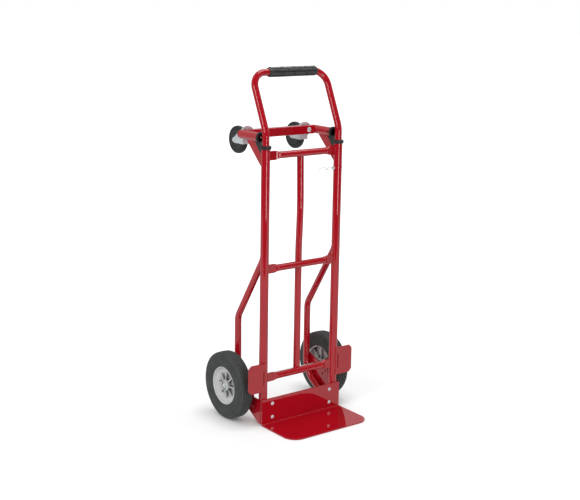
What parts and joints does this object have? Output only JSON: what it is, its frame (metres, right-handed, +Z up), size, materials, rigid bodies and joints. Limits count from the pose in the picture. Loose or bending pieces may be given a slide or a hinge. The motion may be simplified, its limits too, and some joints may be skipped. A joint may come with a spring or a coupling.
{
  "type": "convertible hand truck",
  "caption": "Upright two-wheel hand truck with a folded-steel toe plate, a lift-out loop handle and swivel casters behind its top for use as a platform cart.",
  "frame": {"origin": "on the floor, under the middle of the truck's bounding box", "axes": "+Z up; +Y from the toe plate's side to the wheels' side; +X across, to the left hand of a person pushing it, which is the right in a view from the front"},
  "size_m": [0.512, 0.4728, 1.3003],
  "materials": {
    "red_paint": "gloss",
    "black_plastic": "satin",
    "grip_rubber": "matte",
    "tyre_rubber": "matte",
    "hub_plastic": "satin",
    "caster_rubber": "matte",
    "caster_core": "satin",
    "zinc_steel": "zinc plated"
  },
  "bodies": {
    "frame": {"rail_left": "red_paint", "rail_right": "red_paint", "crossbar_bottom": "red_paint", "crossbar_middle": "red_paint", "crossbar_top": "red_paint", "centre_bar": "red_paint", "side_tube_left": "red_paint", "side_tube_right": "red_paint", "axle_plate_left": "red_paint", "axle_plate_right": "red_paint", "wheel_guard_left": "red_paint", "wheel_guard_right": "red_paint", "toe_plate": "red_paint", "toe_bracket_left": "red_paint", "toe_bracket_right": "red_paint", "socket_arm_left": "red_paint", "socket_arm_right": "red_paint", "gusset_left": "red_paint", "gusset_right": "red_paint", "caster_beam": "red_paint", "rail_collar_left": "black_plastic", "rail_collar_right": "black_plastic", "socket_bushing_left": "black_plastic", "socket_bushing_right": "black_plastic", "toe_bolts": "zinc_steel", "toe_nuts": "zinc_steel", "axle": "zinc_steel", "axle_spacers": "zinc_steel", "axle_washer_left": "zinc_steel", "axle_washer_right": "zinc_steel", "cotter_pins": "zinc_steel", "kingpin_left": "zinc_steel", "kingpin_right": "zinc_steel", "caster_race_left": "zinc_steel", "caster_race_right": "zinc_steel"},
    "wheel_left": {"tyre_left": "tyre_rubber", "wheel_hub_left": "hub_plastic", "wheel_bearings_left": "zinc_steel"},
    "caster_left": {"caster_fork_left": "zinc_steel", "caster_axle_left": "zinc_steel", "caster_bearing_left": "zinc_steel"},
    "caster_wheel_left": {"caster_tyre_left": "caster_rubber", "caster_hub_left": "caster_core"},
    "wheel_right": {"tyre_right": "tyre_rubber", "wheel_hub_right": "hub_plastic", "wheel_bearings_right": "zinc_steel"},
    "caster_right": {"caster_fork_right": "zinc_steel", "caster_axle_right": "zinc_steel", "caster_bearing_right": "zinc_steel"},
    "caster_wheel_right": {"caster_tyre_right": "caster_rubber", "caster_hub_right": "caster_core"},
    "handle": {"handle_tube": "red_paint", "handle_grip": "grip_rubber"},
    "hitch_pin": {"hitch_pin": "zinc_steel", "pin_clip": "zinc_steel"}
  },
  "joints": [
    {"name": "wheel_left_spin", "type": "hinge", "parent": "frame", "child": "wheel_left", "pos_m": [-0.227, 0.1016, 0.127], "axis": [1, 0, 0], "continuous": true},
    {"name": "caster_left_swivel", "type": "hinge", "parent": "frame", "child": "caster_left", "pos_m": [-0.131, 0.124, 1.0595], "axis": [0, 1, 0], "continuous": true},
    {"name": "caster_left_spin", "type": "hinge", "parent": "caster_left", "child": "caster_wheel_left", "pos_m": [-0.131, 0.1856, 1.0305], "axis": [1, 0, 0], "continuous": true},
    {"name": "wheel_right_spin", "type": "hinge", "parent": "frame", "child": "wheel_right", "pos_m": [0.227, 0.1016, 0.127], "axis": [1, 0, 0], "continuous": true},
    {"name": "caster_right_swivel", "type": "hinge", "parent": "frame", "child": "caster_right", "pos_m": [0.131, 0.124, 1.0595], "axis": [0, 1, 0], "continuous": true},
    {"name": "caster_right_spin", "type": "hinge", "parent": "caster_right", "child": "caster_wheel_right", "pos_m": [0.131, 0.1856, 1.0305], "axis": [1, 0, 0], "continuous": true},
    {"name": "handle_lift", "type": "slide", "parent": "frame", "child": "handle", "axis": [0, 0, 1], "range_m": [0, 0.125]},
    {"name": "hitch_pin_pull", "type": "slide", "parent": "frame", "child": "hitch_pin", "axis": [-1, 0, 0], "range_m": [0, 0.05]}
  ]
}
